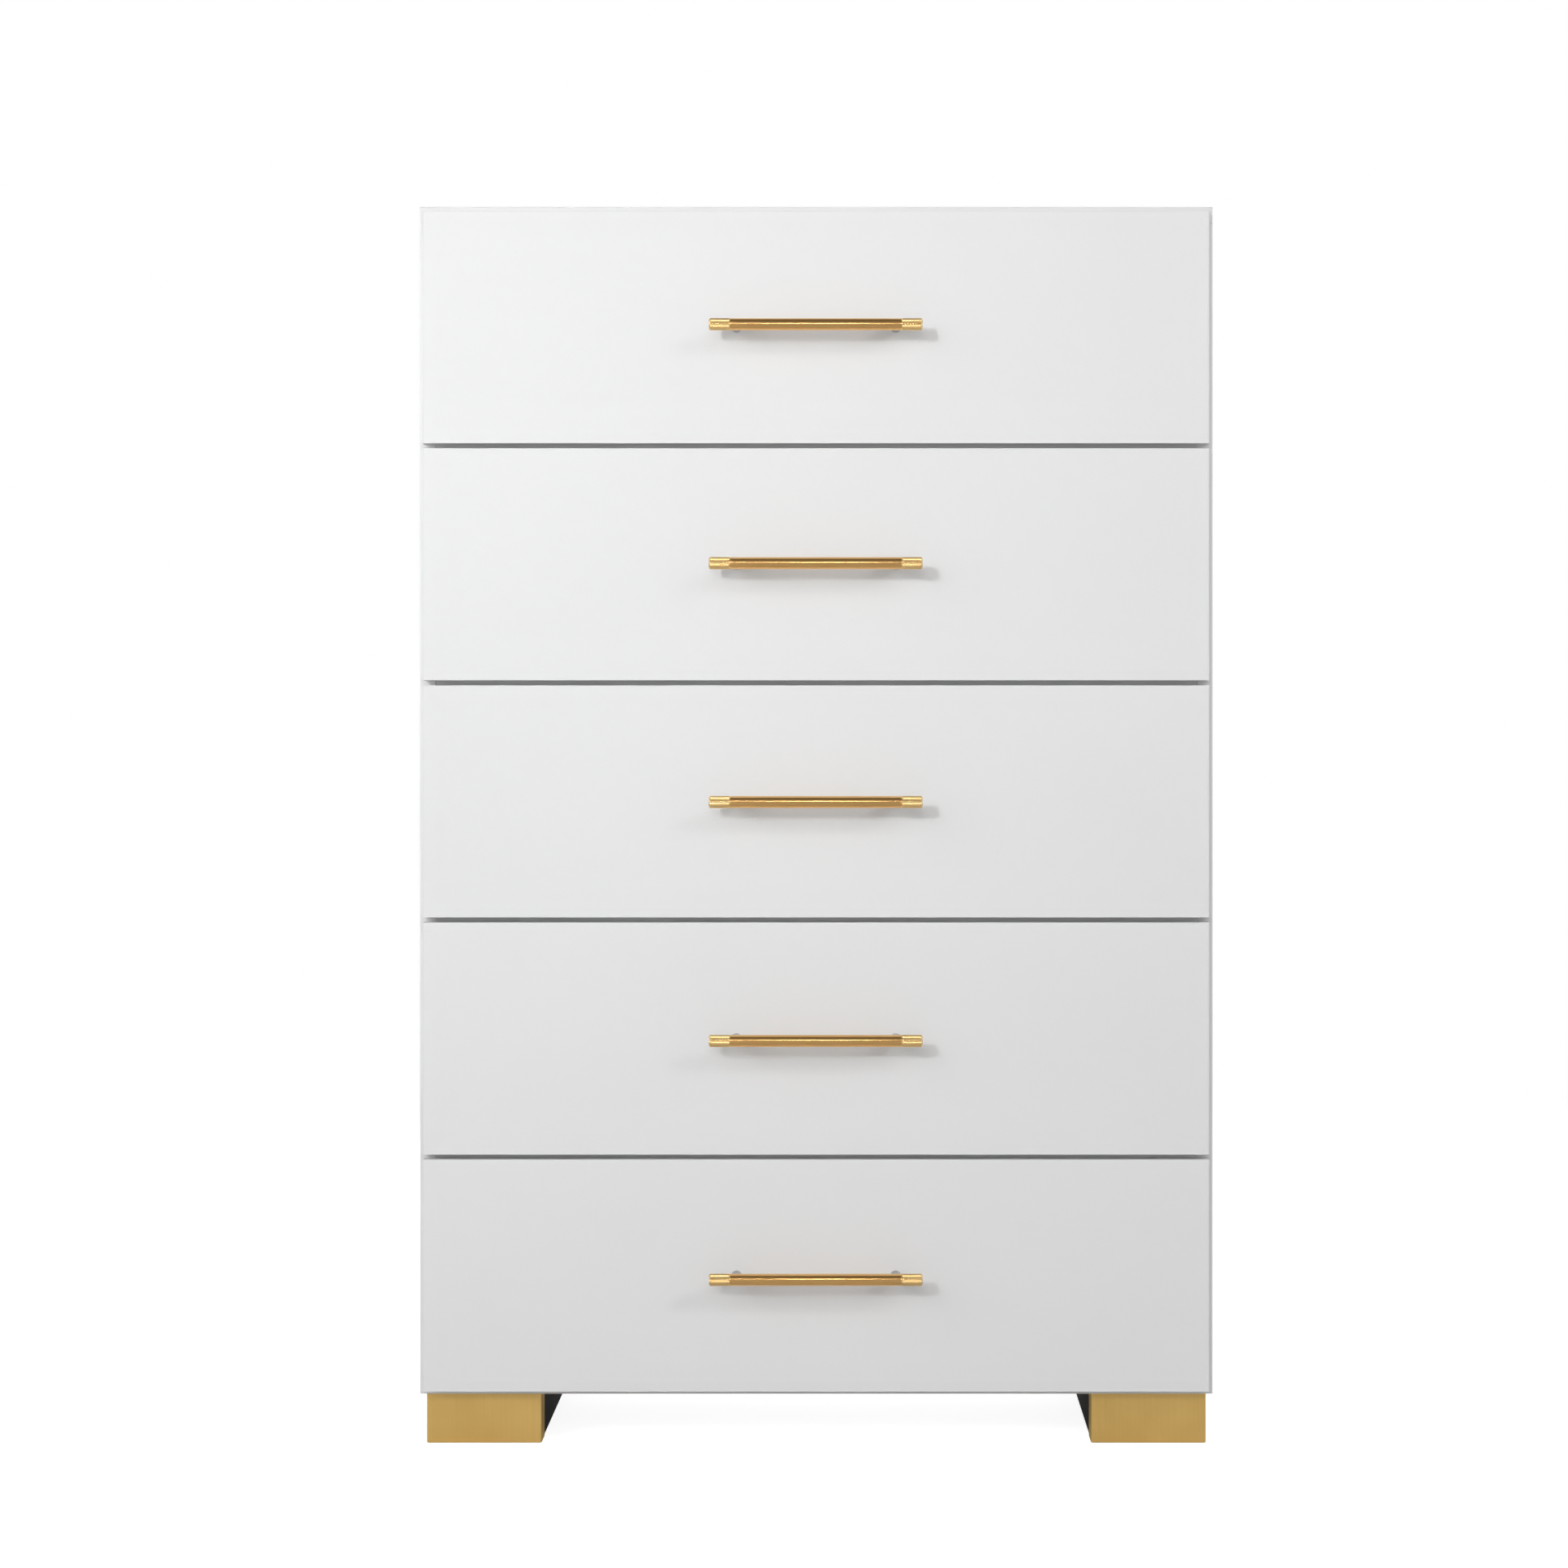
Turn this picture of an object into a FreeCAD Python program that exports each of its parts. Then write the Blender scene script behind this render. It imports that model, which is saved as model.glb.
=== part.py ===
import FreeCAD, Part
import os

# Tall chest of five equal drawers on two full-depth runner feet, in millimetres.
# X runs to the right as seen from the front, the drawer fronts face -Y and Z is up.
# The origin is on the floor, midway across the width and midway from pulls to rear edge.

# Carcass
carcass_width = 800.0
carcass_height = 1198.0
carcass_depth = 381.0
panel_thickness = 16.0
panel_edge_radius = 0.8
back_thickness = 3.0
back_setback = 8.0
back_groove_depth = 7.0
rail_depth = 60.0

# Feet: a black runner with a folded metal cladding, open on the inner side
foot_height = 50.0
foot_width = 116.0
foot_side_inset = 6.5
foot_front_inset = 3.0
foot_rear_inset = 8.0
cladding_thickness = 1.0
cladding_return = 40.0
cladding_floor_gap = 0.5
cladding_corner_radius = 1.5

# Drawer fronts
drawer_count = 5
front_thickness = 18.0
front_reveal = 5.0
front_top_reveal = 6.4
front_gap = 5.0
front_standoff = 1.0
front_edge_radius = 0.5

# Drawer boxes
box_board = 16.0
box_lift = 20.0
box_top_drop = 43.3
box_rear_clearance = 20.0
box_edge_radius = 0.8
bottom_thickness = 5.0
bottom_rise = 10.0
bottom_groove_depth = 6.0
groove_slack = 0.2

# Side-mounted slides: three nested steel channels on each side of a drawer
slide_gap = 13.0
slide_sheet = 1.2
slide_play = 0.6
slide_race = 3.3
slide_height = 45.0
slide_rise = 70.0
slide_front_inset = 3.0
slide_bend_radius = 1.0
slide_flange_overlap = 2.8

# Pulls: a tube on two posts, with a knurled cap in each end
pull_post_spacing = 160.0
pull_bar_diameter = 12.0
pull_bar_wall = 1.5
pull_bar_standoff = 30.0
pull_length = 213.0
pull_cap_rise = 0.2
pull_cap_length = 21.0
pull_cap_chamfer = 0.8
pull_spigot_length = 8.0
pull_post_diameter = 11.0
pull_fit = 0.05

# Screws that hold a pull's posts
screw_diameter = 4.0
screw_hole_diameter = 5.0
screw_engagement = 9.0
thread_runout = 1.0
screw_head_diameter = 8.5
screw_head_height = 2.6

# Two lengths this close count as the same place when edges are picked
same_place = 0.01

# Worked-out sizes and positions
pull_cap_diameter = pull_bar_diameter + 2 * pull_cap_rise
pull_projection = pull_bar_standoff + pull_cap_diameter / 2
overall_depth = carcass_depth + front_standoff + front_thickness + pull_projection
rear_y = overall_depth / 2
carcass_front_y = rear_y - carcass_depth
front_back_y = carcass_front_y - front_standoff
front_face_y = front_back_y - front_thickness
half_width = carcass_width / 2
inner_half_width = half_width - panel_thickness
carcass_bottom_z = foot_height
carcass_top_z = foot_height + carcass_height
inner_bottom_z = carcass_bottom_z + panel_thickness
inner_top_z = carcass_top_z - panel_thickness
back_front_y = rear_y - back_setback - back_thickness
back_edge = back_groove_depth - groove_slack

front_height = (carcass_height - front_reveal - front_top_reveal
                - (drawer_count - 1) * front_gap) / drawer_count
front_pitch = front_height + front_gap
front_half_width = half_width - front_reveal
box_height = front_height - box_lift - box_top_drop

box_half_width = inner_half_width - slide_gap
box_inner_half_width = box_half_width - box_board
box_rear_y = back_front_y - box_rear_clearance

slide_front_y = carcass_front_y + slide_front_inset
slide_length = box_rear_y - slide_front_y

pull_bar_y = front_face_y - pull_bar_standoff
pull_bar_half_length = pull_length / 2 - pull_cap_length


def block(x0, x1, y0, y1, z0, z1):
    """A box between two corners."""
    return Part.makeBox(x1 - x0, y1 - y0, z1 - z0, FreeCAD.Vector(x0, y0, z0))


def rod(diameter, start, direction, length):
    """A round bar from a start point along a direction."""
    return Part.makeCylinder(diameter / 2, length, FreeCAD.Vector(*start), FreeCAD.Vector(*direction))


def mirrored(shape):
    """The same shape on the other side of the chest."""
    return shape.mirror(FreeCAD.Vector(0, 0, 0), FreeCAD.Vector(1, 0, 0))


def ease(shape, radius, chosen):
    """Round the straight edges whose middle point passes the test."""
    edges = [edge for edge in shape.Edges if chosen(edge.CenterOfMass)]
    return shape.makeFillet(radius, edges)


def save(node, *solids):
    """Write one node, a single solid or a group of separate ones."""
    shape = solids[0] if len(solids) == 1 else Part.makeCompound(list(solids))
    shape.exportStep("parts/" + node + ".step")


def eased_panel(x0, x1, y0, y1, z0, z1, radius):
    """A board with the four edges of its front narrow face rounded."""
    return ease(block(x0, x1, y0, y1, z0, z1), radius, lambda p: abs(p.y - y0) < same_place)


def back_groove(x0, x1, z0, z1):
    """The slot that the back panel sits in."""
    return block(x0, x1, back_front_y - groove_slack, back_front_y + back_thickness, z0, z1)


def build_carcass():
    """Top and bottom run the full width and the sides stand between them."""
    groove_half_width = inner_half_width + back_groove_depth
    top = eased_panel(-half_width, half_width, carcass_front_y, rear_y,
                      inner_top_z, carcass_top_z, panel_edge_radius)
    top = top.cut(back_groove(-groove_half_width, groove_half_width,
                              inner_top_z, inner_top_z + back_groove_depth))
    save("top_panel", top)

    bottom = eased_panel(-half_width, half_width, carcass_front_y, rear_y,
                         carcass_bottom_z, inner_bottom_z, panel_edge_radius)
    bottom = bottom.cut(back_groove(-groove_half_width, groove_half_width,
                                    inner_bottom_z - back_groove_depth, inner_bottom_z))
    save("bottom_panel", bottom)

    side = eased_panel(inner_half_width, half_width, carcass_front_y, rear_y,
                       inner_bottom_z, inner_top_z, panel_edge_radius)
    side = side.cut(back_groove(inner_half_width, groove_half_width, inner_bottom_z, inner_top_z))
    save("side_panel_right", side)
    save("side_panel_left", mirrored(side))

    save("back_panel", block(-inner_half_width - back_edge, inner_half_width + back_edge,
                             back_front_y, back_front_y + back_thickness,
                             inner_bottom_z - back_edge, inner_top_z + back_edge))


def build_cross_rails():
    """A flat rail between the sides behind each gap between two fronts."""
    rails = []
    for number in range(2, drawer_count + 1):
        gap_middle_z = front_bottom_z(number) + front_height + front_gap / 2
        rails.append(eased_panel(-inner_half_width, inner_half_width,
                                 carcass_front_y, carcass_front_y + rail_depth,
                                 gap_middle_z - panel_thickness / 2,
                                 gap_middle_z + panel_thickness / 2, panel_edge_radius))
    save("cross_rails", *rails)


def build_feet():
    """Each foot is a black runner inside a metal cladding that shows on three sides."""
    outer_x = half_width - foot_side_inset
    inner_x = outer_x - foot_width
    front_y = carcass_front_y + foot_front_inset
    rear_foot_y = rear_y - foot_rear_inset
    sheet = cladding_thickness
    cladding_middle_z = (cladding_floor_gap + foot_height) / 2

    envelope = block(inner_x, outer_x, front_y, rear_foot_y, cladding_floor_gap, foot_height)
    envelope = ease(envelope, cladding_corner_radius,
                    lambda p: abs(p.z - cladding_middle_z) < same_place)
    core_space = block(inner_x + sheet, outer_x - sheet, front_y + sheet, rear_foot_y - sheet,
                       0, foot_height)
    inner_opening = block(inner_x - sheet, inner_x + sheet,
                          front_y + cladding_return, rear_foot_y - cladding_return,
                          0, foot_height)
    cladding = envelope.cut(core_space).cut(inner_opening)

    save("foot_right", core_space)
    save("foot_left", mirrored(core_space))
    save("foot_claddings", cladding, mirrored(cladding))


def front_bottom_z(number):
    """Height of the lower edge of a drawer's front, drawer 1 being the top one."""
    return carcass_bottom_z + front_reveal + (drawer_count - number) * front_pitch


def channel_pair(web_offset, tip_offset, height, middle_z):
    """Two steel channels facing each other across the chest, one for each side panel.

    The offsets are measured from a side panel's inner face to the outside of the channel's
    web and to the tips of its two flanges.
    """
    web_x = inner_half_width - web_offset
    tip_x = inner_half_width - tip_offset
    inward = 1 if tip_x > web_x else -1
    web_inner_x = web_x + inward * slide_sheet
    y1 = slide_front_y + slide_length
    half = height / 2
    outside = block(min(web_x, tip_x), max(web_x, tip_x), slide_front_y, y1,
                    middle_z - half, middle_z + half)
    outside = ease(outside, slide_bend_radius,
                   lambda p: abs(p.x - web_x) < same_place
                   and abs(abs(p.z - middle_z) - half) < same_place)
    pocket_tip_x = tip_x + inward * slide_sheet
    pocket = block(min(web_inner_x, pocket_tip_x), max(web_inner_x, pocket_tip_x),
                   slide_front_y, y1, middle_z - half + slide_sheet, middle_z + half - slide_sheet)
    right = outside.cut(pocket)
    return [right, mirrored(right)]


def slide_middle_z(number):
    """Height of a drawer's slides."""
    return front_bottom_z(number) + box_lift + slide_rise


def nested_height(level):
    """Outer height of a slide channel, level 0 being the one on the side panel."""
    return slide_height - level * 2 * (slide_sheet + slide_race)


def build_cabinet_slides():
    """The channels that are screwed to the side panels, a pair for each drawer."""
    channels = []
    tip_offset = slide_gap - slide_flange_overlap - slide_sheet
    for number in range(1, drawer_count + 1):
        channels += channel_pair(0, tip_offset, nested_height(0), slide_middle_z(number))
    save("slide_cabinet_members", *channels)


def build_middle_slides(number):
    """The channels between cabinet and drawer, which travel half as far as the drawer."""
    web_offset = slide_sheet + slide_play
    tip_offset = slide_gap - slide_flange_overlap
    channels = channel_pair(web_offset, tip_offset, nested_height(1), slide_middle_z(number))
    save("slide_%d_middle_members" % number, *channels)


def build_drawer_slides(number):
    """The channels that are screwed to the drawer's sides."""
    tip_offset = 2 * (slide_sheet + slide_play)
    channels = channel_pair(slide_gap, tip_offset, nested_height(2), slide_middle_z(number))
    save("slide_%d_drawer_members" % number, *channels)


def build_front(number):
    """The slab front, with a groove for the drawer bottom and holes for the pull's screws."""
    z0 = front_bottom_z(number)
    z1 = z0 + front_height
    front = eased_panel(-front_half_width, front_half_width, front_face_y, front_back_y,
                        z0, z1, front_edge_radius)
    groove_z = z0 + box_lift + bottom_rise
    groove_half_width = box_inner_half_width + bottom_groove_depth
    front = front.cut(block(-groove_half_width, groove_half_width,
                            front_back_y - bottom_groove_depth, front_back_y,
                            groove_z, groove_z + bottom_thickness + groove_slack))
    for side in (-1, 1):
        front = front.cut(rod(screw_hole_diameter,
                              (side * pull_post_spacing / 2, front_face_y, (z0 + z1) / 2),
                              (0, 1, 0), front_thickness))
    save("drawer_%d_front" % number, front)


def build_box(number):
    """Two sides, a back that stands on the bottom, and the bottom in its grooves."""
    z0 = front_bottom_z(number) + box_lift
    z1 = z0 + box_height
    bottom_z = z0 + bottom_rise
    bottom_edge = bottom_groove_depth - groove_slack
    middle_y = (front_back_y + box_rear_y) / 2

    side = block(box_inner_half_width, box_half_width, front_back_y, box_rear_y, z0, z1)
    side = ease(side, box_edge_radius,
                lambda p: abs(p.z - z1) < same_place and abs(p.y - middle_y) < same_place)
    side = side.cut(block(box_inner_half_width, box_inner_half_width + bottom_groove_depth,
                          front_back_y, box_rear_y,
                          bottom_z, bottom_z + bottom_thickness + groove_slack))
    save("drawer_%d_side_right" % number, side)
    save("drawer_%d_side_left" % number, mirrored(side))

    back = block(-box_inner_half_width, box_inner_half_width, box_rear_y - box_board, box_rear_y,
                 bottom_z + bottom_thickness, z1)
    back = ease(back, box_edge_radius, lambda p: abs(p.z - z1) < same_place and abs(p.x) < same_place)
    save("drawer_%d_back" % number, back)

    bottom_half_width = box_inner_half_width + bottom_edge
    save("drawer_%d_bottom" % number,
         block(-bottom_half_width, bottom_half_width, front_back_y - bottom_edge, box_rear_y,
               bottom_z, bottom_z + bottom_thickness))


def build_pull_bar(number, z):
    """The tube of a pull."""
    start = (-pull_bar_half_length, pull_bar_y, z)
    length = 2 * pull_bar_half_length
    bore = pull_bar_diameter - 2 * pull_bar_wall
    tube = rod(pull_bar_diameter, start, (1, 0, 0), length)
    save("pull_%d_bar" % number, tube.cut(rod(bore, start, (1, 0, 0), length)))


def build_pull_caps(number, z):
    """A knurled cap at each end of the tube, with a spigot inside it."""
    spigot = pull_bar_diameter - 2 * pull_bar_wall - 2 * pull_fit
    cap = rod(pull_cap_diameter, (pull_bar_half_length, pull_bar_y, z), (1, 0, 0), pull_cap_length)
    cap = cap.makeChamfer(pull_cap_chamfer, [e for e in cap.Edges if len(e.Vertexes) == 1])
    cap = cap.fuse(rod(spigot, (pull_bar_half_length - pull_spigot_length, pull_bar_y, z),
                       (1, 0, 0), pull_spigot_length + pull_cap_length / 2)).removeSplitter()
    save("pull_%d_end_caps" % number, cap, mirrored(cap))


def build_pull_posts(number, z):
    """Two posts saddled under the tube, each held by a screw through the drawer's front."""
    x = pull_post_spacing / 2
    post = rod(pull_post_diameter, (x, front_face_y, z), (0, -1, 0), pull_bar_standoff)
    seat = rod(pull_bar_diameter + 2 * pull_fit, (-pull_length, pull_bar_y, z), (1, 0, 0),
               2 * pull_length)
    thread = rod(screw_diameter + 2 * pull_fit, (x, front_face_y, z), (0, -1, 0),
                 screw_engagement + thread_runout)
    post = post.cut(seat).cut(thread)

    shank = rod(screw_diameter, (x, front_back_y, z), (0, -1, 0),
                front_thickness + screw_engagement)
    head = rod(screw_head_diameter, (x, front_back_y, z), (0, 1, 0), screw_head_height)
    head = ease(head, screw_head_height / 2,
                lambda p: abs(p.y - front_back_y - screw_head_height) < same_place)
    screw = shank.fuse(head)
    save("pull_%d_posts_and_screws" % number, post, mirrored(post), screw, mirrored(screw))


def build_drawer(number):
    """One drawer with its pull and its share of the slides."""
    pull_z = front_bottom_z(number) + front_height / 2
    build_front(number)
    build_box(number)
    build_pull_bar(number, pull_z)
    build_pull_caps(number, pull_z)
    build_pull_posts(number, pull_z)
    build_drawer_slides(number)
    build_middle_slides(number)


os.makedirs("parts", exist_ok=True)
build_carcass()
build_cross_rails()
build_feet()
build_cabinet_slides()
for drawer in range(1, drawer_count + 1):
    build_drawer(drawer)
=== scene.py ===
"""Looks for the tall chest of drawers: materials, pulls, slide hardware, floor, light and camera.

Metres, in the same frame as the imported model: X to the right seen from the front, the drawer
fronts face -Y, Z up, the origin on the floor.
"""
import math

import bmesh
import bpy
from mathutils import Matrix, Vector


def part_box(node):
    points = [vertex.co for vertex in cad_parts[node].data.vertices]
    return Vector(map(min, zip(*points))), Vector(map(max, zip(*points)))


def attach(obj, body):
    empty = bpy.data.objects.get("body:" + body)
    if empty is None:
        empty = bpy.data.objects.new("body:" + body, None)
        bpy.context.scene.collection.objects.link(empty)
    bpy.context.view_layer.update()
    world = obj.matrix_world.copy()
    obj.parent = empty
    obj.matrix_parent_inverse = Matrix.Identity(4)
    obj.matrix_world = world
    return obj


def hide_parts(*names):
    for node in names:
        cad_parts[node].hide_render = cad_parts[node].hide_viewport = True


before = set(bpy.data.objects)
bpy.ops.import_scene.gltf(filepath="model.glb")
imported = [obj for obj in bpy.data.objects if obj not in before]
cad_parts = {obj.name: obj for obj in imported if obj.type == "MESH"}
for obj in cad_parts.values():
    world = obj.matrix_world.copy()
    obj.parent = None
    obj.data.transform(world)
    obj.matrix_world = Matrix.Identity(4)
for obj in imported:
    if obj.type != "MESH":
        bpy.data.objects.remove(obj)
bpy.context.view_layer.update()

DRAWERS = range(1, 6)
MM = 0.001


# ---------------------------------------------------------------- materials

class Nodes:
    """Short ways to add and join nodes in a tree."""

    def __init__(self, tree):
        self.tree = tree

    def add(self, kind, **settings):
        node = self.tree.nodes.new(kind)
        for key, value in settings.items():
            setattr(node, key, value)
        return node

    def link(self, output, socket):
        self.tree.links.new(output, socket)

    def math(self, operation, first, second):
        """A Math node on two values, each a number or another node's output."""
        node = self.add("ShaderNodeMath", operation=operation)
        for socket, value in zip(node.inputs, (first, second)):
            if isinstance(value, (int, float)):
                socket.default_value = value
            else:
                self.link(value, socket)
        return node.outputs["Value"]

    def step(self, value, start, end, low=0.0, high=1.0):
        """A smooth change from low to high while the value goes from start to end."""
        node = self.add("ShaderNodeMapRange", interpolation_type="SMOOTHSTEP")
        self.link(value, node.inputs["Value"])
        node.inputs["From Min"].default_value = start
        node.inputs["From Max"].default_value = end
        node.inputs["To Min"].default_value = low
        node.inputs["To Max"].default_value = high
        return node.outputs["Result"]


class Shader(Nodes):
    """A material's node tree with short ways to add the nodes used here."""

    def __init__(self, name):
        self.material = bpy.data.materials.new(name)
        self.material.use_nodes = True
        super().__init__(self.material.node_tree)
        self.surface = self.tree.nodes["Principled BSDF"]
        self.place = self.add("ShaderNodeTexCoord").outputs["Object"]

    def set(self, **values):
        """Plain values on the surface's own sockets; underscores stand for spaces."""
        for key, value in values.items():
            self.surface.inputs[key.replace("_", " ")].default_value = value

    def scaled(self, x, y, z):
        """Object coordinates stretched along each axis."""
        node = self.add("ShaderNodeMapping")
        self.link(self.place, node.inputs["Vector"])
        node.inputs["Scale"].default_value = (x, y, z)
        return node.outputs["Vector"]

    def noise(self, scale, detail=3.0, vector=None, roughness=0.5):
        """A noise texture in object coordinates, or in others that are given."""
        node = self.add("ShaderNodeTexNoise")
        self.link(vector or self.place, node.inputs["Vector"])
        node.inputs["Scale"].default_value = scale
        node.inputs["Detail"].default_value = detail
        node.inputs["Roughness"].default_value = roughness
        return node.outputs["Fac"]

    def ramp(self, factor, stops):
        """A colour ramp from (position, colour) stops."""
        node = self.add("ShaderNodeValToRGB")
        self.link(factor, node.inputs["Fac"])
        elements = node.color_ramp.elements
        while len(elements) < len(stops):
            elements.new(0.5)
        for element, (position, colour) in zip(elements, stops):
            element.position = position
            element.color = (*colour, 1.0)
        return node.outputs["Color"]

    def spread(self, factor, low, high):
        """Map a 0 to 1 value to a range."""
        node = self.add("ShaderNodeMapRange")
        self.link(factor, node.inputs["Value"])
        node.inputs["To Min"].default_value = low
        node.inputs["To Max"].default_value = high
        return node.outputs["Result"]

    def bump(self, height, distance, strength=1.0, normal=None):
        """Relief from a 0 to 1 height, as deep as the distance."""
        node = self.add("ShaderNodeBump")
        self.link(height, node.inputs["Height"])
        node.inputs["Distance"].default_value = distance
        node.inputs["Strength"].default_value = strength
        if normal is not None:
            self.link(normal, node.inputs["Normal"])
        return node.outputs["Normal"]

    def finish(self, colour, roughness, normal=None):
        """Join the outputs to the surface and give back the material."""
        for name, output in (("Base Color", colour), ("Roughness", roughness), ("Normal", normal)):
            if output is not None:
                self.link(output, self.surface.inputs[name])
        return self.material


def shade(value, tint=(1.0, 1.0, 1.0)):
    """A grey, slightly tinted."""
    return tuple(value * t for t in tint)


def white_lacquer():
    """Sprayed satin white lacquer with a faint orange peel and slow waves."""
    s = Shader("front_lacquer")
    tone = s.noise(3.0, 2.0)
    colour = s.ramp(tone, [(0.3, shade(0.805)), (0.7, shade(0.82))])
    roughness = s.spread(s.noise(60.0, 4.0), 0.42, 0.5)
    peel = s.bump(s.noise(420.0, 2.0), 0.04 * MM)
    waves = s.bump(s.noise(14.0, 1.0), 0.4 * MM, 0.3, peel)
    s.set(Specular_IOR_Level=0.4)
    return s.finish(colour, roughness, waves)


def white_laminate(name, low, high, tint, grain_depth):
    """White melamine: a fine pebbled press-plate texture and slightly uneven sheen."""
    s = Shader(name)
    tone = s.noise(5.0, 3.0)
    colour = s.ramp(tone, [(0.3, shade(low, tint)), (0.7, shade(high, tint))])
    roughness = s.spread(s.noise(45.0, 5.0), 0.42, 0.54)
    pebbles = s.bump(s.noise(1400.0, 3.0, roughness=0.6), grain_depth)
    s.set(Specular_IOR_Level=0.4)
    return s.finish(colour, roughness, pebbles)


def hardboard():
    """Pale grey painted hardboard with faint long fibres."""
    s = Shader("back_hardboard")
    fibres = s.noise(30.0, 6.0, s.scaled(9.0, 9.0, 1.0), 0.65)
    colour = s.ramp(fibres, [(0.35, (0.47, 0.455, 0.425)), (0.65, (0.56, 0.545, 0.515))])
    roughness = s.spread(s.noise(25.0, 4.0), 0.55, 0.7)
    relief = s.bump(s.noise(600.0, 4.0, s.scaled(1.0, 1.0, 0.35)), 0.06 * MM)
    s.set(Specular_IOR_Level=0.3)
    return s.finish(colour, roughness, relief)


def polished_gold():
    """Plated and polished gold whose sheen drifts a little along the tube."""
    s = Shader("pull_gold_polished")
    tone = s.noise(40.0, 3.0)
    colour = s.ramp(tone, [(0.3, (0.88, 0.515, 0.185)), (0.7, (0.92, 0.545, 0.205))])
    wear = s.noise(1.0, 2.0, s.scaled(25.0, 60.0, 60.0))
    s.set(Metallic=1.0)
    return s.finish(colour, s.spread(wear, 0.2, 0.23))


def knurled_gold_painted_sheen():
    """The same plating on cut knurling, painted a lighter gold than the tube as painted sheen for the
    glints on the knurl; its tone and roughness vary at random.
    """
    s = Shader("pull_gold_knurled_painted_sheen")
    tone = s.noise(700.0, 2.0)
    # Colour painted lighter than the tube's gold: painted sheen standing in for the glints on the
    # knurl facets.
    colour = s.ramp(tone, [(0.3, (0.90, 0.60, 0.25)), (0.7, (0.95, 0.68, 0.31))])
    roughness = s.spread(s.noise(900.0, 2.0), 0.2, 0.28)
    s.set(Metallic=1.0)
    return s.finish(colour, roughness, s.bump(s.noise(2500.0, 2.0), 0.01 * MM))


def satin_nickel():
    """Blasted and plated steel."""
    s = Shader("post_nickel")
    colour = s.ramp(s.noise(120.0, 3.0), [(0.3, shade(0.42)), (0.7, shade(0.47))])
    roughness = s.spread(s.noise(300.0, 3.0), 0.3, 0.42)
    s.set(Metallic=1.0)
    return s.finish(colour, roughness, s.bump(s.noise(1800.0, 2.0), 0.01 * MM))


def zinc_plate():
    """Rolled steel strip with bright zinc: long draw lines and a cool mottle."""
    s = Shader("slide_zinc")
    lines = s.noise(1.0, 3.0, s.scaled(700.0, 4.0, 700.0))
    mottle = s.noise(80.0, 4.0)
    colour = s.ramp(mottle, [(0.3, (0.56, 0.58, 0.60)), (0.7, (0.66, 0.68, 0.70))])
    roughness = s.spread(lines, 0.26, 0.44)
    s.set(Metallic=1.0, Anisotropic=0.3)
    return s.finish(colour, roughness, s.bump(lines, 0.01 * MM))


def brushed_foot_gold():
    """Satin gold sheet, brushed upwards, with a slow drift of tone along it."""
    s = Shader("foot_gold_brushed")
    streaks = s.noise(1.0, 4.0, s.scaled(420.0, 420.0, 9.0), 0.6)
    drift = s.noise(14.0, 2.0)
    mixed = s.math("ADD", s.math("MULTIPLY", streaks, 0.35), s.math("MULTIPLY", drift, 0.65))
    colour = s.ramp(mixed, [(0.3, (0.82, 0.545, 0.175)), (0.7, (0.93, 0.635, 0.225))])
    roughness = s.spread(streaks, 0.4, 0.55)
    s.set(Metallic=1.0, Anisotropic=0.4)
    return s.finish(colour, roughness, s.bump(streaks, 0.03 * MM))


def black_board_and_painted_shade():
    """Dark stained board with a little open grain running front to back, kept near black also as
    painted shade on the feet's inner sides.
    """
    s = Shader("foot_core_black_and_painted_shade")
    grain = s.noise(1.0, 5.0, s.scaled(260.0, 12.0, 260.0), 0.6)
    # Near-black colour: partly the board's stain, partly painted shade for the shaded inner side of
    # each foot.
    colour = s.ramp(grain, [(0.35, (0.010, 0.006, 0.005)), (0.65, (0.022, 0.013, 0.011))])
    roughness = s.spread(grain, 0.55, 0.75)
    s.set(Specular_IOR_Level=0.25)
    return s.finish(colour, roughness, s.bump(grain, 0.05 * MM))


def clear_bumper():
    """Soft clear polyurethane dots."""
    s = Shader("bumper_clear")
    colour = s.ramp(s.noise(300.0, 2.0), [(0.3, (0.72, 0.73, 0.73)), (0.7, (0.78, 0.79, 0.79))])
    s.set(Transmission_Weight=0.5, IOR=1.45)
    return s.finish(colour, s.spread(s.noise(200.0), 0.15, 0.25))


def plain_plastic(name, low, high):
    """Moulded plastic with a fine spark-eroded grain."""
    s = Shader(name)
    colour = s.ramp(s.noise(90.0, 3.0), [(0.3, low), (0.7, high)])
    s.set(Specular_IOR_Level=0.4)
    return s.finish(colour, s.spread(s.noise(160.0, 3.0), 0.35, 0.5),
                    s.bump(s.noise(2200.0, 2.0), 0.01 * MM))


LACQUER = white_lacquer()
LAMINATE = white_laminate("carcass_laminate", 0.775, 0.795, (1.0, 1.0, 1.0), 0.03 * MM)
BOX_LAMINATE = white_laminate("drawer_box_laminate", 0.72, 0.75, (1.0, 1.0, 0.99), 0.05 * MM)
HARDBOARD = hardboard()
GOLD = polished_gold()
# Knurled caps: a lighter copy of the tube's gold, as painted sheen.
KNURL_GOLD_PAINTED_SHEEN = knurled_gold_painted_sheen()
NICKEL = satin_nickel()
ZINC = zinc_plate()
FOOT_GOLD = brushed_foot_gold()
# Foot cores: stained black board, darkened further as painted shade on the feet's inner sides.
FOOT_BLACK_AND_PAINTED_SHADE = black_board_and_painted_shade()
BUMPER = clear_bumper()
CAGE_PLASTIC = plain_plastic("slide_cage_plastic", (0.62, 0.63, 0.62), (0.68, 0.69, 0.68))
CAP_PLASTIC = plain_plastic("cam_cap_plastic", (0.70, 0.70, 0.68), (0.75, 0.75, 0.73))


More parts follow.
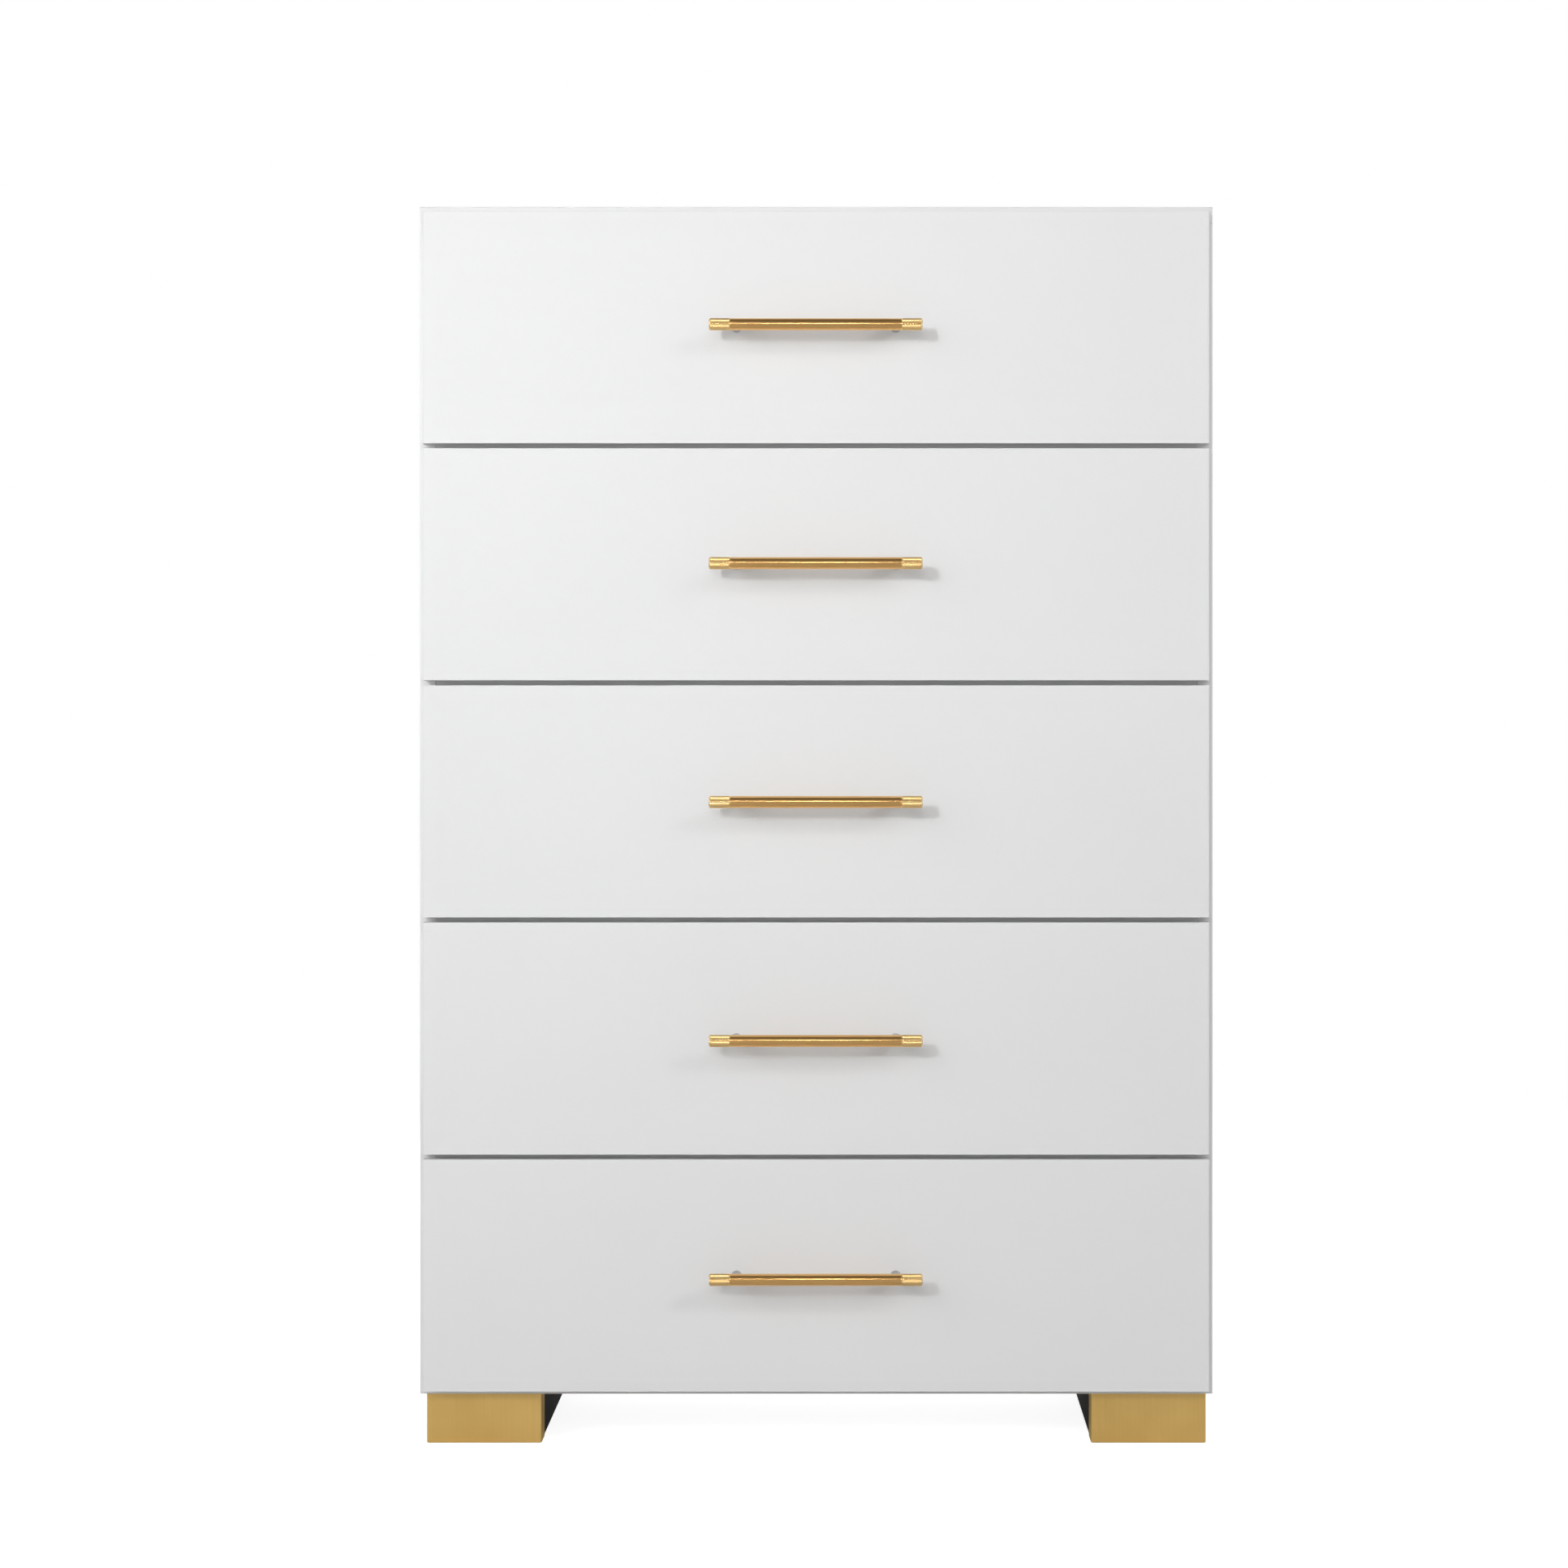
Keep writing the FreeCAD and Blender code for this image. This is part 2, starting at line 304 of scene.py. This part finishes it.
def finish_for(node):
    """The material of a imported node, by what the node is."""
    if node.endswith("_front"):
        return LACQUER
    if node.startswith("drawer_"):
        return HARDBOARD if node.endswith("_bottom") else BOX_LAMINATE
    if node.startswith("slide_"):
        return ZINC
    if node.startswith("pull_"):
        return NICKEL if "posts" in node else GOLD
    special = {"back_panel": HARDBOARD, "foot_claddings": FOOT_GOLD,
               "foot_left": FOOT_BLACK_AND_PAINTED_SHADE, "foot_right": FOOT_BLACK_AND_PAINTED_SHADE}
    return special.get(node, LAMINATE)


for node_name, node_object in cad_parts.items():
    node_object.data.materials.clear()
    node_object.data.materials.append(finish_for(node_name))


# ---------------------------------------------------------------- mesh helpers

# Turns that point a shape's own +Z along an axis
AXIS_TURN = {"x": Matrix.Rotation(math.pi / 2, 4, "Y"), "-x": Matrix.Rotation(-math.pi / 2, 4, "Y"),
             "y": Matrix.Rotation(-math.pi / 2, 4, "X"), "-y": Matrix.Rotation(math.pi / 2, 4, "X")}


def angles(steps):
    """Equal steps round a full turn."""
    return [2 * math.pi * k / steps for k in range(steps)]


def join_rings(bm, rings, steps):
    """Faces between each ring of vertices and the next; a ring of one vertex is a tip."""
    for low, high in zip(rings, rings[1:]):
        for k in range(steps):
            corners = [low[k % len(low)], low[(k + 1) % len(low)],
                       high[(k + 1) % len(high)], high[k % len(high)]]
            bm.faces.new(list(dict.fromkeys(corners)))


def turned(bm, profile, at, axis, steps):
    """Add a turned shape: (radius, height) points from the axis, closed at both ends."""
    place = Matrix.Translation(at) @ AXIS_TURN[axis]
    rings = []
    for radius, height in profile:
        points = [(radius * math.cos(a), radius * math.sin(a)) for a in angles(steps)]
        rings.append([bm.verts.new(place @ Vector((x, y, height)))
                      for x, y in (points if radius else [(0, 0)])])
    join_rings(bm, rings, steps)


def arc(radius, cx, cy, start, end, steps=5):
    """Points along an arc, angles in degrees."""
    points = []
    for k in range(steps + 1):
        a = math.radians(start + (end - start) * k / steps)
        points.append((cx + radius * math.cos(a), cy + radius * math.sin(a)))
    return points


def piece(name, bm, body, material, smooth_angle=35, replaces=()):
    """Turn a bmesh into a named piece that rides on a body."""
    bmesh.ops.recalc_face_normals(bm, faces=bm.faces)
    mesh = bpy.data.meshes.new(name)
    bm.to_mesh(mesh)
    bm.free()
    mesh.materials.append(material)
    for polygon in mesh.polygons:
        polygon.use_smooth = smooth_angle > 0
    obj = bpy.data.objects.new(name, mesh)
    bpy.context.scene.collection.objects.link(obj)
    if smooth_angle > 0:
        mesh.set_sharp_from_angle(angle=math.radians(smooth_angle))
    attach(obj, body)
    if replaces:
        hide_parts(*replaces)


# ---------------------------------------------------------------- pulls

BAR_EASE = 0.35 * MM
BAR_STEPS = 72
CAP_ROWS = 7
CAP_DIAMONDS_ROUND = 14
CAP_STEPS = 8
KNURL_DEPTH = 0.55 * MM
CAP_PLAIN_RIM = 0.7 * MM
CAP_CHAMFER = 0.6 * MM
POST_EASE = 0.4 * MM
POST_STEPS = 32
PULL_SCREW_HEAD_RADIUS = 4.2 * MM
PULL_SCREW_RADIUS = 1.9 * MM
PULL_SCREW_IN_POST = 9 * MM
HEAD_STEPS = 40
HEAD_ROWS = 12


def pull_bar(number):
    """The tube between the knurled caps, with eased ends."""
    lo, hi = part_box("pull_%d_bar" % number)
    radius = (hi.z - lo.z) / 2
    centre = (lo + hi) / 2
    half = (hi.x - lo.x) / 2
    bm = bmesh.new()
    end = [(0, half), (radius - BAR_EASE, half)]
    end += arc(BAR_EASE, radius - BAR_EASE, half - BAR_EASE, 90, 0)
    turned(bm, [(r, -h) for r, h in end] + end[::-1], centre, "x", BAR_STEPS)
    piece("pull_%d_bar_tube" % number, bm, "drawer_%d" % number, GOLD,
          replaces=["pull_%d_bar" % number])


def knurl_height(turn, along):
    """Relief of a diamond knurl, 1 on the crests and 0 in the grooves."""
    a = (turn + along) % 1.0
    b = (turn - along) % 1.0
    return min(1.0, 2.6 * min(a, 1 - a), 2.6 * min(b, 1 - b))


def knurled_cap(bm, inner_x, outer_x, centre, radius):
    """A cap from the tube's end outwards, knurled between two plain rims."""
    length = abs(outer_x - inner_x)
    sign = 1 if outer_x > inner_x else -1
    steps = CAP_DIAMONDS_ROUND * CAP_STEPS
    knurl_length = length - 2 * CAP_PLAIN_RIM - CAP_CHAMFER
    groove = radius - KNURL_DEPTH
    rows = [(0.0, groove, None), (CAP_PLAIN_RIM, groove, None)]
    for k in range(CAP_ROWS * CAP_STEPS + 1):
        share = k / (CAP_ROWS * CAP_STEPS)
        rows.append((CAP_PLAIN_RIM + share * knurl_length, radius, share * CAP_ROWS))
    rows.append((length - CAP_CHAMFER - CAP_PLAIN_RIM * 0.5, groove, None))
    rows.append((length, groove - CAP_CHAMFER, None))
    rings = []
    for height, row_radius, along in rows:
        ring = []
        for k, a in enumerate(angles(steps)):
            r = row_radius
            if along is not None:
                r -= KNURL_DEPTH * (1 - knurl_height(k / CAP_STEPS, along))
            ring.append(bm.verts.new((inner_x + sign * height, centre.y + r * math.cos(a),
                                      centre.z + r * math.sin(a))))
        rings.append(ring)
    join_rings(bm, rings, steps)
    bm.faces.new(rings[0])
    bm.faces.new(rings[-1])


def pull_caps(number):
    """Both knurled caps of a pull."""
    tube_lo, tube_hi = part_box("pull_%d_bar" % number)
    lo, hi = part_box("pull_%d_end_caps" % number)
    centre = (lo + hi) / 2
    radius = (hi.z - lo.z) / 2
    bm = bmesh.new()
    knurled_cap(bm, tube_hi.x, hi.x, centre, radius)
    knurled_cap(bm, tube_lo.x, lo.x, centre, radius)
    piece("pull_%d_knurled_caps" % number, bm, "drawer_%d" % number, KNURL_GOLD_PAINTED_SHEEN, 20,
          replaces=["pull_%d_end_caps" % number])


def saddled_post(bm, at, radius, bar_axis_y, bar_radius):
    """A round post from a drawer's front to the tube, its end cut to the tube's curve."""

    def saddle_y(z):
        return bar_axis_y + math.sqrt(bar_radius ** 2 - (z - at.z) ** 2)

    rows = [(0.0, at.y), (radius - POST_EASE, at.y), (radius, at.y - POST_EASE),
            (radius, None), (radius * 0.6, None), (radius * 0.25, None)]
    rings = []
    for r, y in rows:
        ring = []
        for a in angles(POST_STEPS if r else 1):
            z = at.z + r * math.sin(a)
            ring.append(bm.verts.new((at.x + r * math.cos(a), saddle_y(z) if y is None else y, z)))
        rings.append(ring)
    join_rings(bm, rings, POST_STEPS)
    bm.faces.new(rings[-1])


def screw_head(bm, at, axis, radius, height):
    """A pan head with a cross recess, standing on a point and facing along an axis."""
    place = Matrix.Translation(at) @ AXIS_TURN[axis]
    arm, reach, depth = radius * 0.13, radius * 0.55, height * 0.55

    def level(r, a):
        dome = height * (1 - 0.35 * (r / radius) ** 4)
        x, y = abs(r * math.cos(a)), abs(r * math.sin(a))
        in_cross = r < reach and min(x, y) < arm
        return dome - (depth * (1 - 0.3 * r / reach) if in_cross else 0.0)

    def ring(r, z=None):
        return [bm.verts.new(place @ Vector((r * math.cos(a), r * math.sin(a),
                                             level(r, a) if z is None else z)))
                for a in angles(HEAD_STEPS if r else 1)]

    rings = [ring(radius * 0.97 * j / HEAD_ROWS) for j in range(HEAD_ROWS + 1)]
    rings += [ring(radius, height * 0.45), ring(radius, 0.0)]
    join_rings(bm, rings, HEAD_STEPS)
    bm.faces.new(rings[-1])


def pull_posts(number):
    """Both posts of a pull and the screws through the drawer's front."""
    lo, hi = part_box("pull_%d_posts_and_screws" % number)
    bar_lo, bar_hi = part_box("pull_%d_bar" % number)
    front_lo, front_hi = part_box("drawer_%d_front" % number)
    bar_radius = (bar_hi.z - bar_lo.z) / 2
    post_radius = (hi.z - lo.z) / 2
    x, z = hi.x - post_radius, (lo.z + hi.z) / 2
    length = front_hi.y - front_lo.y + PULL_SCREW_IN_POST
    shank = [(0, 0), (PULL_SCREW_RADIUS, 0), (PULL_SCREW_RADIUS, length - 1 * MM), (0, length)]
    posts, screws = bmesh.new(), bmesh.new()
    for side in (-1, 1):
        saddled_post(posts, Vector((side * x, front_lo.y, z)), post_radius,
                     (bar_lo.y + bar_hi.y) / 2, bar_radius)
        inside = Vector((side * x, front_hi.y, z))
        screw_head(screws, inside, "y", PULL_SCREW_HEAD_RADIUS, hi.y - front_hi.y)
        turned(screws, shank, inside, "-y", 20)
    piece("pull_%d_posts" % number, posts, "drawer_%d" % number, NICKEL,
          replaces=["pull_%d_posts_and_screws" % number])
    piece("pull_%d_screws" % number, screws, "drawer_%d" % number, ZINC, 30)


for drawer in DRAWERS:
    pull_bar(drawer)
    pull_caps(drawer)
    pull_posts(drawer)


# ---------------------------------------------------------------- slide hardware and fittings

BALL_RADIUS = 1.6 * MM
BALLS = 8
CAGE_LENGTH = 165 * MM
CAGE_WIDTH = 4.6 * MM
CAGE_THICKNESS = 0.7 * MM
CAGE_INSET = 6 * MM
# Each race: its distance from the side panel, and above or below the slide's middle line
OUTER_RACE = (5.6 * MM, 19.65 * MM)
INNER_RACE = (7.2 * MM, 15.15 * MM)
SLIDE_SHEET = 1.2 * MM
SLIDE_SCREW_HEAD = (3.4 * MM, 1.8 * MM)
SLIDE_SCREW_INSETS = (22 * MM, 30 * MM)
CAM_RADIUS = 8.5 * MM
CAM_RISE = 0.8 * MM
CAM_INSETS_Y = (34 * MM, 50 * MM)
CAM_INSETS_Z = (45 * MM, 40 * MM)
BUMPER_RADIUS = 3.8 * MM
BUMPER_RISE = 0.8 * MM
BUMPER_INSET = 14 * MM


def slab(bm, lo, hi, bevel):
    """A small plate with eased edges."""
    made = bmesh.ops.create_cube(bm, size=1.0)["verts"]
    size = hi - lo
    for v in made:
        v.co = (lo + hi) / 2 + Vector((v.co.x * size.x, v.co.y * size.y, v.co.z * size.z))
    edges = list({e for v in made for e in v.link_edges})
    bmesh.ops.bevel(bm, geom=edges, offset=bevel, segments=2, affect="EDGES", profile=0.5)


def ball_cages(number):
    """Steel balls in plastic strips between the slide channels, two races on each side."""
    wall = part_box("side_panel_right")[0].x
    lo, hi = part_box("slide_%d_middle_members" % number)
    middle_z = (lo.z + hi.z) / 2
    strips, balls = bmesh.new(), bmesh.new()
    for side in (-1, 1):
        for (from_wall, rise), start in ((OUTER_RACE, hi.y - CAGE_LENGTH - CAGE_INSET),
                                         (INNER_RACE, lo.y + CAGE_INSET)):
            for up in (-1, 1):
                centre = Vector((side * (wall - from_wall), start, middle_z + up * rise))
                half = Vector((CAGE_WIDTH / 2, 0, CAGE_THICKNESS / 2))
                slab(strips, centre - half, centre + half + Vector((0, CAGE_LENGTH, 0)), 0.15 * MM)
                for k in range(BALLS):
                    y = start + CAGE_LENGTH * (k + 0.5) / BALLS
                    bmesh.ops.create_icosphere(balls, subdivisions=2, radius=BALL_RADIUS,
                                               matrix=Matrix.Translation((centre.x, y, centre.z)))
    body = "slide_%d_middle" % number
    piece("slide_%d_ball_cages" % number, strips, body, CAGE_PLASTIC, 30)
    piece("slide_%d_balls" % number, balls, body, NICKEL, 80)


def slide_screws(number):
    """Pan-head screws that hold the inner channels to the drawer's sides."""
    lo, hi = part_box("slide_%d_drawer_members" % number)
    box_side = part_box("drawer_%d_side_right" % number)[1].x
    bm = bmesh.new()
    for y in (lo.y + SLIDE_SCREW_INSETS[0], (lo.y + hi.y) / 2, hi.y - SLIDE_SCREW_INSETS[1]):
        for side, axis in ((-1, "-x"), (1, "x")):
            at = Vector((side * (box_side + SLIDE_SHEET), y, (lo.z + hi.z) / 2))
            screw_head(bm, at, axis, *SLIDE_SCREW_HEAD)
    piece("slide_%d_screws" % number, bm, "drawer_%d" % number, ZINC, 30)


def cam_covers(number):
    """Caps over the cam locks near the front and back corners of a drawer's sides."""
    lo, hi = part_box("drawer_%d_side_right" % number)
    ease, dimple = 0.5 * MM, CAM_RISE - 0.25 * MM
    profile = [(0, 0), (CAM_RADIUS, 0.0)]
    profile += arc(ease, CAM_RADIUS - ease, CAM_RISE - ease, 0, 90, 4)
    profile += [(CAM_RADIUS * 0.5, CAM_RISE), (CAM_RADIUS * 0.45, dimple), (0.0, dimple)]
    bm = bmesh.new()
    for z in (lo.z + CAM_INSETS_Z[0], hi.z - CAM_INSETS_Z[1]):
        for y in (lo.y + CAM_INSETS_Y[0], hi.y - CAM_INSETS_Y[1]):
            for side, axis in ((-1, "x"), (1, "-x")):
                turned(bm, profile, Vector((side * lo.x, y, z)), axis, 40)
    piece("drawer_%d_cam_covers" % number, bm, "drawer_%d" % number,
          CAP_PLASTIC, 30)


def bumpers():
    """Clear dots on the carcass's front edges that the drawer fronts close against."""
    panel_lo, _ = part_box("side_panel_right")
    ease = 0.4 * MM
    profile = [(0, 0), (BUMPER_RADIUS, 0)]
    profile += arc(ease, BUMPER_RADIUS - ease, BUMPER_RISE - ease, 0, 90, 4)
    profile.append((0, BUMPER_RISE))
    bm = bmesh.new()
    for number in DRAWERS:
        front_lo, front_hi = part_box("drawer_%d_front" % number)
        x = (panel_lo.x + front_hi.x) / 2
        for z in (front_lo.z + BUMPER_INSET, front_hi.z - BUMPER_INSET):
            for side in (-1, 1):
                turned(bm, profile, Vector((side * x, panel_lo.y, z)), "-y", 28)
    piece("front_bumpers", bm, "cabinet", BUMPER, 30)


for drawer in DRAWERS:
    ball_cages(drawer)
    slide_screws(drawer)
    cam_covers(drawer)
bumpers()


# ---------------------------------------------------------------- floor, light and camera

FRAME_WIDTH_PX = 1932
FRONT_MM_PER_PX = 0.8155
CAMERA_DISTANCE = 4.15
CAMERA_HEIGHT = 0.7278
CAMERA_X = 0.0445
CAMERA_SHIFT_X = -0.0487
CAMERA_SHIFT_Y = -0.0393

FLOOR_RADIUS = 4.0
FLOOR_FADE = 1.8
FLOOR_GLOW = 0.9


def floor():
    """A pale floor, lifted towards white for the lens alone, that fades out into the surroundings."""
    bm = bmesh.new()
    bmesh.ops.create_circle(bm, cap_ends=True, segments=96, radius=FLOOR_RADIUS)
    mesh = bpy.data.meshes.new("studio_floor")
    bm.to_mesh(mesh)
    bm.free()
    s = Shader("floor_paint")
    colour = s.ramp(s.noise(1.2, 2.0), [(0.3, shade(0.59)), (0.7, shade(0.61))])
    s.set(Specular_IOR_Level=0.2, Emission_Color=(1.0, 1.0, 1.0, 1.0))
    seen = s.add("ShaderNodeLightPath").outputs["Is Camera Ray"]
    s.link(s.math("MULTIPLY", seen, FLOOR_GLOW), s.surface.inputs["Emission Strength"])
    reach = s.add("ShaderNodeVectorMath", operation="LENGTH")
    s.link(s.place, reach.inputs[0])
    fade = s.step(reach.outputs["Value"], FLOOR_RADIUS - FLOOR_FADE, FLOOR_RADIUS, 1.0, 0.0)
    s.link(fade, s.surface.inputs["Alpha"])
    mesh.materials.append(s.finish(colour, s.spread(s.noise(8.0, 3.0), 0.6, 0.75)))
    obj = bpy.data.objects.new("studio_floor", mesh)
    bpy.context.scene.collection.objects.link(obj)


# How brightly each part of the surroundings lights the chest
BACK_GLOW = 1.3
FRONT_GLOW = 0.78
LENS_GLOW = 0.33
CEILING_GLOW = 0.16


def surroundings():
    """White behind the chest and to the lens; a dimmer room in front, darkest overhead."""
    world = bpy.data.worlds.new("studio")
    bpy.context.scene.world = world
    world.use_nodes = True
    w = Nodes(world.node_tree)
    direction = w.add("ShaderNodeSeparateXYZ")
    w.link(w.add("ShaderNodeTexCoord").outputs["Generated"], direction.inputs["Vector"])
    x, y, z = (direction.outputs[axis] for axis in "XYZ")
    behind = w.step(y, -0.1, 0.25)
    above = w.step(z, 0.45, 0.75)
    aside = w.step(w.math("ABSOLUTE", x, 0.0), 0.15, 0.45)
    in_front = w.math("SUBTRACT", 1.0, behind)
    below = w.math("SUBTRACT", 1.0, above)
    near_lens = w.math("SUBTRACT", 1.0, aside)

    def glow(strength, *masks):
        """A part of the room: its strength wherever every mask is 1."""
        for mask in masks:
            strength = w.math("MULTIPLY", mask, strength)
        return strength

    room = w.math("ADD",
                  w.math("ADD", glow(BACK_GLOW, behind, below),
                         glow(FRONT_GLOW, in_front, aside, below)),
                  w.math("ADD", glow(CEILING_GLOW, above),
                         glow(LENS_GLOW, in_front, near_lens, below)))
    seen = w.add("ShaderNodeMix", data_type="FLOAT")
    w.link(w.add("ShaderNodeLightPath").outputs["Is Camera Ray"], seen.inputs["Factor"])
    w.link(room, seen.inputs["A"])
    seen.inputs["B"].default_value = 1.0
    background = world.node_tree.nodes["Background"]
    w.link(seen.outputs["Result"], background.inputs["Color"])
    background.inputs["Strength"].default_value = 1.0


def softbox(name, at, target, size, power, spread=180):
    """A rectangular area light aimed at a point; the camera doesn't see it."""
    light = bpy.data.lights.new(name, "AREA")
    light.shape = "RECTANGLE"
    light.size, light.size_y = size
    light.energy = power
    light.spread = math.radians(spread)
    obj = bpy.data.objects.new(name, light)
    obj.location = at
    obj.rotation_mode = "QUATERNION"
    obj.rotation_quaternion = (Vector(target) - Vector(at)).to_track_quat("-Z", "Y")
    obj.visible_camera = False
    bpy.context.scene.collection.objects.link(obj)


def camera():
    """Straight on, a little right of the middle of the chest; the lens shifts instead of turning."""
    lo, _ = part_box("drawer_3_front")
    data = bpy.data.cameras.new("camera")
    data.sensor_width = 36.0
    data.lens = data.sensor_width * CAMERA_DISTANCE / (FRAME_WIDTH_PX * FRONT_MM_PER_PX * MM)
    data.shift_x = CAMERA_SHIFT_X
    data.shift_y = CAMERA_SHIFT_Y
    obj = bpy.data.objects.new("camera", data)
    obj.location = (CAMERA_X, lo.y - CAMERA_DISTANCE, CAMERA_HEIGHT)
    obj.rotation_euler = (math.pi / 2, 0, 0)
    bpy.context.scene.collection.objects.link(obj)
    bpy.context.scene.camera = obj


floor()
surroundings()
CHEST_FRONT = (0, -0.2, 0.7)
softbox("front_left_softbox", (-2.35, -5.2, 2.45), (-0.28, -0.18, 0.98), (0.6, 0.6), 4.0, 38)
softbox("right_key", (4.3, -3.9, 3.6), CHEST_FRONT, (0.25, 0.25), 58)
softbox("left_softbox", (-2.6, -2.2, 1.9), CHEST_FRONT, (1.6, 1.6), 24)
softbox("strip_over_camera", (0.03, -4.6, 1.95), CHEST_FRONT, (1.0, 0.14), 12)
camera()
bpy.context.scene.view_settings.view_transform = "Standard"
